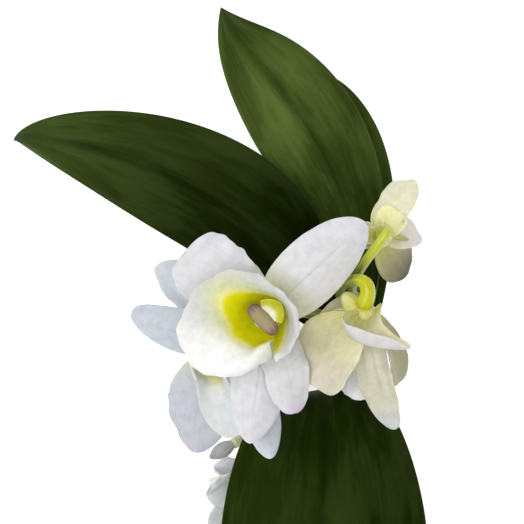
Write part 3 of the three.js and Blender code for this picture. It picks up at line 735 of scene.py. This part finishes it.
def seat_patch(hues):
    """Radius = (seat^8 + chin^8)^(1/8), where each is the distance from the middle to that ellipsoid. It has
    the colour of the petals' backs, with their veins on its ribs, and the seat's own round the stalk."""
    polar, turn = round_grid(np.linspace(0.04, pi - 0.04, 40), 56)
    ray = np.stack([sin(polar) * cos(turn), sin(polar) * sin(turn), -cos(polar)], -1)
    x, y, z = ray[..., 0], ray[..., 1], ray[..., 2]
    seat = RECEPTACLE_RADIUS / np.sqrt(x**2 + y**2 + (z / SEAT_FLATNESS) ** 2)
    c, s = cos(CHIN_TURN), sin(CHIN_TURN)
    turned = np.array([[1, 0, 0], [0, c, s], [0, -s, c]])
    to_unit = turned.T / CHIN_HALF_SIZES
    way, middle = ray @ to_unit, CHIN_CENTRE @ to_unit
    a, b, rest = (way**2).sum(-1), way @ middle, middle @ middle - 1
    chin = (b + np.sqrt(np.maximum(b**2 - a * rest, 0))) / a
    radius = (seat**8 + np.maximum(chin, 0.01) ** 8) ** 0.125
    ribs = 0.5 + 0.5 * cos(12 * turn)
    by_stalk = smooth(-z, 0.55, 0.9)
    tint = washes(hues["back"], (hues["veins"], 0.4 + 0.3 * ribs), (hues["seat"], by_stalk))
    place = np.stack([polar * RECEPTACLE_RADIUS, turn * RECEPTACLE_RADIUS], -1)
    return rings(radius[..., None] * ray, tint, place, 1)


print("chin reaches", CHIN_HALF_SIZES[1] - CHIN_CENTRE[1], "mm below the axis")

# %% [markdown]
# The lip is one sheet rolled past a full turn, so that one margin passes behind the other, as in an arum,
# and a notch opens between them at the rim. Its throat is chrome yellow, its wide end white and frilled.

# %% The lip
LIP_FOOT_RADIUS = 3.9
LIP_OVERLAP = np.radians(14)
LIP_NOTCH = np.radians(20)
LIP_SPIRAL = 1.5
LIP_FOOT = RECEPTACLE_RADIUS + 0.9
LIP_ROWS = 76
LIP_SIZE = (25, 40)
GOLD_TONGUES = ((188, 32, 0.3), (333, 28, 0.18), (40, 40, -0.2))  # at an angle and of a width in degrees
# Painted light: the lip's inside is whitest this many degrees from the middle of the front lobe, and greyer
# elsewhere as painted shade.
PAINTED_LIGHT_ANGLE = 45  # degrees from the middle of the front lobe
LIP_LIKE = dict(lobe=1.8, skew=0, crest=0, towards=-90, slit=90, gold=1.0, white="#fbfaf7")


def trumpet(reach, back, throat, depth, **more):
    """A lip: how far its rim reaches in front and at the back, its throat's radius and its depth in mm."""
    return {**LIP_LIKE, "reach": reach, "back": back, "throat": throat, "depth": depth, **more}


def lip_surface(lip):
    """Middle surface of the lip. Radius and height follow u from foot to rim. The rim's reach follows the
    angle round the axis; frills of two sizes grow towards the rim; the spiral keeps the margins apart. By
    its last margin the sheet rises to a crest, pinched towards the axis, and falls again to the rim."""
    def surface(u, v):
        share = (v + 1) / 2
        angle = np.radians(lip["slit"]) + share * (2 * pi + LIP_OVERLAP - LIP_NOTCH * u**3)
        off = angle - np.radians(lip["towards"])
        lobe = (0.5 + 0.5 * cos(off)) ** (lip["lobe"] * (1 + lip["skew"] * sin(off)))
        rim = lip["back"] + (lip["reach"] - lip["back"]) * lobe
        stand_off = LIP_SPIRAL * (0.5 - share)
        swell = lip["crest"] * smooth(share, 0.82, 0.94)
        fold = swell * bell(u - 0.65, 0.2)
        tube = LIP_FOOT_RADIUS + (lip["throat"] - LIP_FOOT_RADIUS) * (1 - (1 - u) ** 3)
        wavy = 1 + 0.018 * sin(11 * angle + 1) * u**4 + 0.008 * sin(27 * angle) * u**8
        radius = (tube + (rim - lip["throat"]) * u**3) * wavy + stand_off - fold
        frill = 0.05 * rim * u**4 * sin(5 * angle) + 0.016 * rim * u**7 * sin(14 * angle + 2)
        drift = 2.2 * sin(4 * angle + 5 * u) + 1.4 * sin(9 * u)
        pucker = 0.16 * sin(6 * angle + 7 * u) * sin(8 * u - 3 * angle)
        folds = (0.045 * cos(34 * angle + drift) + pucker) * smooth(u, 0.15, 0.4) * smooth(u, 1.0, 0.7)
        rise = LIP_FOOT + lip["depth"] * sin(pi / 2 * u) - 0.17 * (rim - lip["back"]) * u**5
        height = rise + frill + folds - 1.25 * stand_off * u**1.5 + fold - 1.5 * swell * u**8
        return np.stack([radius * cos(angle), radius * sin(angle), height], -1)

    return surface


def lip_tint(lip):
    """Lime deep down, chrome yellow up to an uneven edge, which runs out in tongues, then a pale yellow rim
    to the yellow, then white. The white is painted light, brightest on one side of the front lobe, and the
    inside is left greyer elsewhere as painted shade. Each tongue adds to the edge by reach exp(-(angle from
    it / its width)^2); a negative reach draws the edge in."""
    def tint(u, v, outer):
        angle = lip["slit"] + np.degrees((v + 1) / 2 * (2 * pi + LIP_OVERLAP))
        # Painted light: the white is laid where the lip is lit, and the grey base stays as painted shade.
        painted_light = smooth(cos(np.radians(angle - lip["towards"] - PAINTED_LIGHT_ANGLE)), 0.3, 0.95)
        edge = u + 0.02 * sin(9 * v + 1) + 0.015 * sin(23 * v)
        for at, width, reach in GOLD_TONGUES:
            turned = (angle - at + 180) % 360 - 180
            edge = edge - reach * bell(turned, width)
        rich = lip["gold"]
        gold = smooth(edge, 0.48, 0.39) * rich
        lime = smooth(u, 0.25, 0.05)
        inside = washes("#d5d5d3", (lip["white"], painted_light * smooth(u, 0.45, 0.6)),
                        ("#d9dca0", smooth(edge, 0.9, 0.45) * (1 - 0.8 * painted_light) * rich),
                        ("#f0ea96", smooth(edge, 0.6, 0.44) * rich), ("#e8e402", gold),
                        ("#cfd412", 0.4 * lime * rich))
        outside = washes("#f1f1ee", ("#e4e8b4", 0.8 * smooth(u, 0.6, 0.2)), ("#c3cc62", 0.8 * lime))
        return outside if outer else inside

    return tint


print("lip foot", LIP_FOOT, "mm above the middle of the seat")

# %% [markdown]
# The column carries the anther under a cap, across its end. Behind the cap stands a small hood, cream and
# lime inside, with painted shade in olive along its far rim. The cap is a rounded bar with a seam between
# its two pollen chambers, tan, with purple ends.

# %% The column
ROD_RADIUS = 2.0
HOOD_THICKNESS = 0.6
HOOD_HALF_ANGLE = 0.95


def column_patches(lip):
    """A rod, a hollow hood that opens behind the cap like a bowl, and the cap, a superellipsoid."""
    length, wide = 0.6 * lip["depth"], 0.65 * lip["throat"]
    share, turn = round_grid(np.linspace(0, 1, 14), 32)
    radius = ROD_RADIUS * (1 - 0.25 * smooth(share, 0.0, 0.3) + 0.25 * smooth(share, 0.5, 1))
    height = LIP_FOOT - HOOD_THICKNESS + (length + HOOD_THICKNESS) * share
    rod = np.stack([radius * cos(turn), radius * sin(turn), height], -1)
    rod_tint = washes("#dfe2a6", ("#b7bd3a", 0.6 * smooth(share, 0.6, 0.1)))
    rod_patch = rings(rod, rod_tint, np.stack([share * length, turn * ROD_RADIUS], -1))

    bowl = 1.21 * lip["throat"] - 2.4

    def hood(u, v):
        angle = pi / 2 + v * HOOD_HALF_ANGLE
        out = bowl * (0.25 + 0.75 * u) * (1 - 0.28 * abs(v))
        height = LIP_FOOT + length - HOOD_THICKNESS + 0.065 * out**2
        return np.stack([out * cos(angle), 0.13 * wide + out * sin(angle), height], -1)

    def hood_tint(u, v, outer):
        far = u * (1 - 0.28 * abs(v))
        # Painted shade: olive along the hood's far rim.
        return washes("#f4f1d3", ("#c9c92c", smooth(far, 0.3, 0.6)),
                      ("#a9a820", 0.5 * smooth(far, 0.7, 0.95)))

    def power(x, n):
        """The size of x to the power n, with the sign of x."""
        return np.sign(x) * abs(x) ** n

    hood_patch = sheet(hood, hood_tint, (30, 34), HOOD_THICKNESS, (bowl, bowl))
    polar, turn = round_grid(np.linspace(0.03, pi - 0.03, 44), 48)
    x = -power(cos(polar), 0.8)
    round_it = sin(polar) ** 0.55
    y, z = round_it * power(cos(turn), 0.8), round_it * power(sin(turn), 0.8)
    seam = 1 - 0.16 * bell(y, 0.16) * (z > 0) * round_it
    notch = 1 - 0.10 * bell(x, 0.10) * (z > 0)
    height = 0.34 * wide * z * seam * notch + LIP_FOOT + length
    cap = np.stack([wide * x, 0.42 * wide * y + 0.10 * wide, height], -1)
    spots = smooth(abs(x) + 0.1 * sin(9 * turn), 0.5, 0.85)
    cap_tint = washes("#968660", ("#a89a76", 0.6 * smooth(z, 0.2, 1.0)), ("#75525a", 0.75 * spots),
                      ("#6b4650", 0.5 * smooth(abs(y), 0.75, 1.0) * spots))
    cap_patch = rings(cap, cap_tint, np.stack([polar * wide, turn * wide * 0.36], -1), 1)
    return [rod_patch, hood_patch, cap_patch]


print("column finishes:", COLUMN.name, CAP.name)

# %% [markdown]
# A stalk leaves a joint of the cane through a small papery bract, arches, and swells into the flower.

# %% Stalks and bracts
STALK_RADIUS = 1.35
STALK_LENGTH = 40  # roughly, which is enough for the grain of the flesh
STALK_UP = (0.31, 0.17, 0.93)
BRACT_RADIUS = 1.75
BRACT_SIZE = (5, 5)


def stalk_patches(stalk, end, seat):
    """A cubic Bezier from the cane's skin to the seat, thickening as 1 + swell s^1.5 and at its very foot,
    with six low ribs that twist by half a radian. Its two ends run on a little, into the cane and into the
    seat. From the share `ripe` on it turns from green to the seat's colour. A bract wraps its foot over the
    share `bract`."""
    start = beside_cane(stalk["at"], stalk["angle"], CLEARANCE + 0.3)[0]
    points = [start, start + stalk["leaves"], end + np.array(stalk["arrives"], float), end]

    def curve(t):
        return bezier(points, t)

    share, turn = round_grid(np.linspace(0, 1, 90), 36)
    ribs = 1 + 0.035 * cos(6 * turn + 3 * share)
    radius = STALK_RADIUS * (1 + stalk["swell"] * share**1.5) * ribs * (1 + 0.22 * bell(share, 0.04))
    body = round_points(curve, share, turn, radius, STALK_UP)
    ways = tangent_of(curve, np.array([0.0, 1.0]))
    body[0] -= ways[0] * 1.0
    body[-1] += ways[1] * 0.9
    ripe, wrapped = stalk.get("ripe", 0.7), stalk.get("bract", 0.13)
    tint = washes("#7f882e", (seat, smooth(share, ripe, ripe + 0.15)),
                  ("#7f8f36", 0.7 * smooth(share, 0.5, 0.0)),
                  ("#e0de7c", 0.2 * smooth(cos(6 * turn + 3 * share), 0.4, 1.0)))
    place = np.stack([share * STALK_LENGTH, turn * STALK_RADIUS], -1)

    def bract(u, v):
        spot, across, raised = round_frame(curve, 0.02 + wrapped * u, STALK_UP)
        angle = v * 2.6 + 1.0
        flare = (BRACT_RADIUS + 4.2 * wrapped * u**2 + 0.12 * sin(7 * v))[..., None]
        return spot + flare * (across * sin(angle)[..., None] + raised * cos(angle)[..., None])

    def bract_tint(u, v, outer):
        fibres = smooth(sin(17 * v), 0.2, 1)
        return washes("#b9a878", ("#8a7148", 0.8 * smooth(u, 0.4, 1.0)), ("#d8ceaa", 0.5 * fibres))

    return [rings(body, tint, place), sheet(bract, bract_tint, (14, 30), 0.25, BRACT_SIZE, 1)]


print("stalk radius", STALK_RADIUS, "mm")

# %% [markdown]
# The five flowers: one looks straight up, one beside it is turned aside, two nod with their creamy backs
# to the sky, and one low on the left has only half opened.

# %% The five flowers
WHITE = dict(inside="#dfdee1", back="#d8dae0", shade="#ced0d6", veins="#cacea6", seat="#c3c84e")
# Painted shade: the flower below lies in shade, so its cool whites are painted greyer.
COOL_SHADED = dict(inside="#d4d9e0", back="#ced4dd", shade="#c6ccd7", veins="#c9cfb2", seat="#c3c84e")
CREAM = dict(inside="#dddbe3", back="#e9e3bd", shade="#dcd6ae", veins="#cfcc4a", seat="#c9ca14")
IVORY = dict(inside="#d9d2d6", back="#f0ecd0", shade="#cfc9a4", veins="#d4d778", seat="#c9ce40")
# Painted shade: the half-open flower low on the left lies in shade, so its whites are painted grey.
SHADED_GREY = dict(inside="#d8d9dd", back="#dbdcdf", shade="#c6c8cd", veins="#c2c6ae", seat="#a9ad58")

FLOWERS = {
    "front": dict(
        centre=(1.4, -14.5, 52), faces=(-0.12, -0.1, 0.99), dorsal=(0.72, 0.69, 0), hues=WHITE,
        tepals=[sepal(90, 79, 37.5, half_width=9, twist=-16, cup=0.4, shape=(0.5, 0.53)),
                petal(187, 70, 28.6, half_width=10.9, twist=16, cup=0.45, shape=(0.6, 0.27), blush=0),
                petal(-24, 63, 28.5, half_width=6.5, curl=12, bow=1.3, twist=40, cup=0.6, shape=(0.64, 0.45),
                      blush=0.8),
                sepal(-132, 94, 38.5, half_width=6.7, curl=20, bow=5, shape=(0.64, 0.43), inside="#cbd1d9"),
                sepal(-50, 71, 35, half_width=8.1, keel=0.3)],
        lip=trumpet(22.7, 10.3, 7.8, 14, lobe=3, skew=0.55, crest=2.2, towards=-114, slit=-21),
        stalk=dict(at=0.085, angle=85, leaves=(0, 0, 13), arrives=(6, 3, -12), swell=0.65)),
    "below": dict(
        centre=(-11.8, -26, 30), faces=(-0.2, -0.25, 0.95), dorsal=(0.05, 0.95, 0.25), hues=COOL_SHADED,
        tepals=[sepal(86, 78, 28), petal(42, 83, 21, half_width=7.5),
                petal(133, 97, 30.5, half_width=6.7, curl=4, bow=-2.7, twist=12, shape=(0.74, 0.4)),
                sepal(-100, 75, 30.5, half_width=10, bow=-2.5, ruffle=1.6, cup=0.4, shape=(0.56, 0.54),
                      frill=0.8, blush=0.6, inside="#c8cad2"),
                sepal(-42, 44, 40, half_width=7, curl=-4, bow=1.8, twist=34, cup=1.1, shape=(0.6, 0.67))],
        # Painted shade: this lip's white is painted greyer.
        lip=trumpet(23, 5, 4.7, 12, lobe=14, towards=-74, slit=60, gold=0.25, white="#e2e6e6"),
        stalk=dict(at=0.2, angle=180, leaves=(-14, 0, 0), arrives=(2.5, 3, -11), swell=0.65)),
    "right": dict(
        centre=(28.3, -14.6, 56), faces=(0.05, -0.9, -0.42), dorsal=(0.64, -0.32, 0.69), hues=CREAM,
        tepals=[sepal(105, 92, 22.5, curl=16, half_width=7.2, bow=7.7, twist=28, cup=1.3, shape=(0.43, 0.65),
                      inside="#ddd9d6"),
                petal(184, 46, 23.4, curl=-25, half_width=12.9, bow=2.7, cup=0.22, shape=(0.7, 0.3),
                      frill=0.25, tip="#e3dbd2", tip_from=0.4, blush=0.75),
                # Painted shade: the grey towards this petal's tip stands for the shade on its turned end.
                petal(107, 29, 32, curl=-29, half_width=4.5, bow=2.9, twist=-36, cup=0.1, shape=(0.66, 0.5),
                      back="#d3d0ba", tip="#cfd1d4", tip_from=0.7, blush=0.9, frill=0.6),
                sepal(244, 66, 16.4, curl=-31, half_width=5, bow=7.2, twist=7, cup=0.4, shape=(0.6, 0.5)),
                # Painted shade: this sepal lies behind the long petal, so its back is painted olive.
                sepal(38, 20, 24, curl=-31, half_width=6.4, bow=1, twist=-38, cup=0.2, shape=(0.64, 0.45),
                      back="#b3ae88")],
        lip=trumpet(7, 5, 4.1, 20, slit=130),
        stalk=dict(at=0.05, angle=105, leaves=(-16, 8, 35), arrives=(5, 12, 4), swell=0.65, ripe=0.6,
                   bract=0.02)),
    "upper": dict(
        centre=(33.4, 7.6, 47), faces=(0.15, -0.03, -0.99), dorsal=(0.97, 0, 0.25), hues=IVORY,
        tepals=[sepal(36, 82, 7.5, curl=-13, half_width=4.4, twist=9, cup=0.3, shape=(0.68, 0.35),
                      back="#faf8ba"),
                petal(24, 58, 20.3, curl=-41, half_width=5.3, twist=36, cup=0.2, shape=(0.6, 0.45),
                      frill=0.25, back="#f2eed0"),
                # Painted shade: this petal lies in shadow, so its back is painted darker and runs to
                # olive-brown towards its tip.
                petal(143, 27, 24.5, curl=-37, half_width=6.2, bow=1, twist=40, ruffle=0.8, shape=(0.8, 1),
                      frill=0.1, back="#c2ba8a", tip="#3a3016", tip_from=0, blush=0.95),
                sepal(81, 28, 19.6, curl=-37, half_width=4.5, twist=23, cup=0.22, shape=(0.57, 0.6),
                      back="#efe4da", blush=0.9),
                sepal(-90, 18, 20, curl=-54, half_width=3.6)],
        lip=trumpet(4, 3.7, 3.5, 12, slit=-60),
        stalk=dict(at=0.022, angle=80, leaves=(-15, 1, 36), arrives=(8, 6, 18), swell=0.02, ripe=0.4,
                   bract=0.03)),
    "side": dict(
        centre=(-5, -66.5, 21), faces=(-0.8, -0.25, -0.5), dorsal=(-0.3, 0.85, 0.3), hues=SHADED_GREY,
        tepals=[sepal(71, 53, 9.9, curl=-12, half_width=3.7, twist=11, shape=(0.65, 0.63), keel=0.35),
                petal(15, 41, 12, curl=-25, half_width=4.9, twist=10, ruffle=0.5, shape=(0.52, 0.6),
                      keel=0.4),
                sepal(-42, 49, 18.4, curl=-1.5, half_width=4.1, bow=1, twist=-80, cup=0.4,
                      shape=(0.57, 0.4)),
                sepal(140, 40, 14, curl=-20, half_width=4.5), petal(220, 40, 14, curl=-20, half_width=5)],
        lip=trumpet(4.8, 4.3, 4, 6),
        stalk=dict(at=0.43, angle=170, leaves=(-6, 0, 1), arrives=(6, 0, 4), swell=0.65)),
}


def flower_axes(flower):
    """Three rows: the flower's X, Y and Z, with Z where it faces and Y as close to dorsal as is square."""
    z = unit(np.array(flower["faces"], float))
    y = np.array(flower["dorsal"], float)
    y = unit(y - (y @ z) * z)
    return np.array([np.cross(y, z), y, z])


def make_flower(name, flower):
    """The four pieces of a flower, worked out in its own axes and moved to its place on the plant."""
    axes, centre = flower_axes(flower), np.array(flower["centre"], float)
    hues, lip = flower["hues"], flower["lip"]
    lip_grid = (LIP_ROWS, 12 * int(6 + lip["reach"] / 2))
    behind = centre - axes[2] * (SEAT_FLATNESS * RECEPTACLE_RADIUS + CLEARANCE)

    def make(words, patches, finishes, node):
        placed = [moved_to(patch, axes, centre) for patch in patches]
        make_piece(f"{name}_{words}", placed, finishes, f"flower_{name}_{node}")

    tepals = [sheet(tepal_surface(tepal), tepal_tint(tepal, hues), TEPAL_GRID, PETAL_THICKNESS,
                    (tepal["length"], tepal["half_width"])) for tepal in flower["tepals"]]
    make("sepals_and_petals", [seat_patch(hues), *tepals], [PETAL, STALK], "tepals")
    rolled = sheet(lip_surface(lip), lip_tint(lip), lip_grid, PETAL_THICKNESS, LIP_SIZE)
    make("trumpet_lip", [rolled], [LIP], "lip")
    make("column_and_cap", column_patches(lip), [COLUMN, CAP], "column")
    make_piece(f"{name}_stalk_and_bract", stalk_patches(flower["stalk"], behind, hues["seat"]),
               [STALK, PAPER], f"flower_{name}_stalk")


for name, flower in FLOWERS.items():
    make_flower(name, flower)

# %% [markdown]
# ## The bud
# A bud is the same five parts shut tight: an egg with five shallow seams and a green foot. It lies in
# shadow, so its grey, darker towards the tip, is painted shade.

# %% The bud
BUD = dict(foot=(-8.2, -54.8, 20.8), tip=(-15.8, -59.2, 22.1), radius=2.4,
           stalk=dict(at=0.37, angle=185, leaves=(-7, 3, 1), arrives=(5, 3, -2), swell=0.2))
BUD_LENGTH = 16  # roughly twice its length, for a finer grain of the skin


def bud_patch(bud):
    """Radius = R sin(pi (0.06 + 0.9 s))^0.8, cut by five seams that twist a little towards the tip."""
    foot, tip = np.array(bud["foot"], float), np.array(bud["tip"], float)
    share, turn = round_grid(ease(60), 80)
    seam = abs(cos(2.5 * turn + 0.8 * share)) ** 10
    radius = bud["radius"] * sin(pi * (0.06 + 0.9 * share)) ** 0.8 * (1 - 0.05 * seam)
    points = round_points(lambda t: bezier([foot, tip], t), share, turn, radius)
    # Painted shade: grey, darker towards the tip.
    tint = washes("#b4b0b1", ("#ccd2a0", 0.8 * smooth(share, 0.2, 0.0)),
                  ("#9c9798", 0.6 * smooth(share, 0.5, 1.0)), ("#a3a59c", 0.5 * seam))
    return rings(points, tint, np.stack([share * BUD_LENGTH, turn * bud["radius"]], -1))


make_piece("shut_bud", [bud_patch(BUD)], [PETAL], "bud")
bud_end = bezier([BUD["foot"], BUD["tip"]], 0.0) - 0.02 * (np.array(BUD["tip"]) - np.array(BUD["foot"]))
bud_stalk = stalk_patches(BUD["stalk"], bud_end, "#d3d6ac")
make_piece("bud_stalk_and_bract", bud_stalk, [STALK, PAPER], "bud_stalk")

# %% [markdown]
# ## Table, light and camera
# The plant lies on a plain white table under two large soft boxes. The table glows a little, as a light
# table does, which keeps the shadows under the leaves pale. The camera looks straight down from 400 mm.

# %% The table
def table_paint():
    """Matt white paint with a glow of its own."""
    material, tree = new_finish("matt_white_table")
    shader = add(tree, "BsdfPrincipled", {
        "Base Color": (*linear("#f6f6f4"), 1), "Roughness": 0.9, "IOR": 1.3,
        "Emission Color": (1, 1, 1, 1), "Emission Strength": 0.65})
    add(tree, "OutputMaterial", {"Surface": shader})
    return material


TABLE_HALF = 3.0
TABLE_GAP = 0.0002  # also in metres, so that the plant and the table don't share a plane
corners = [(x * TABLE_HALF, y * TABLE_HALF, 0) for x, y in ((-1, -1), (1, -1), (1, 1), (-1, 1))]
table_mesh = bpy.data.meshes.new("table")
table_mesh.from_pydata(corners, [], [(0, 1, 2, 3)])
table_mesh.materials.append(table_paint())
table = bpy.data.objects.new("table", table_mesh)
bpy.context.scene.collection.objects.link(table)
table.location = (0, 0, -TABLE_GAP)
table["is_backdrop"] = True
print("table", 2 * TABLE_HALF, "m wide")

# %% Light
scene = bpy.context.scene
scene.view_settings.view_transform = "Standard"
sky = bpy.data.worlds.new("soft_studio")
sky.use_nodes = True
background = sky.node_tree.nodes["Background"]
background.inputs["Color"].default_value = (0.95, 0.98, 1.0, 1)
background.inputs["Strength"].default_value = 0.3
scene.world = sky


def lamp(name, place, target, size, watts):
    """A square soft box at a place, aimed at a target, both in metres."""
    data = bpy.data.lights.new(name, "AREA")
    data.size, data.energy = size, watts
    light = bpy.data.objects.new(name, data)
    light.location = place
    aim = np.array(target) - np.array(place)
    tilt, heading = np.arctan2(np.hypot(aim[0], aim[1]), -aim[2]), np.arctan2(aim[0], -aim[1])
    light.rotation_euler = (tilt, 0, heading + pi)
    scene.collection.objects.link(light)


lamp("window_box", (-0.35, 0.1, 0.8), (0, 0, 0.03), 0.5, 3.1)
lamp("overhead_box", (0.1, -0.15, 1.1), (0, 0, 0.03), 0.7, 4.9)
print("sky and two soft boxes")

# %% The camera
VIEW_HEIGHT = 400  # mm above the table
VIEW_WIDTH = 167.7  # mm of table across the picture
lens = bpy.data.cameras.new("camera")
lens.sensor_width = 36
lens.lens = lens.sensor_width * VIEW_HEIGHT / VIEW_WIDTH
lens.clip_start, lens.clip_end = 0.01, 20
camera = bpy.data.objects.new("camera", lens)
camera.location = (SHIFT[0] * MM, SHIFT[1] * MM, VIEW_HEIGHT * MM)
scene.collection.objects.link(camera)
scene.camera = camera
print("lens", round(lens.lens, 1), "mm")

# %% [markdown]
# ## The boxes before and after
# The finished plant keeps the solid model's box to about half a millimetre. The solid model's box is printed
# at the start, and the last lines print how much each side grew.

# %% Sizes and finish
bpy.context.view_layer.update()
visual_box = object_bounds()
for side in range(3):
    grew = (visual_box[1] - visual_box[0] - CAD_BOX[1] + CAD_BOX[0])[side]
    print("xyz"[side], "grew by", round(grew / MM, 2), "mm")
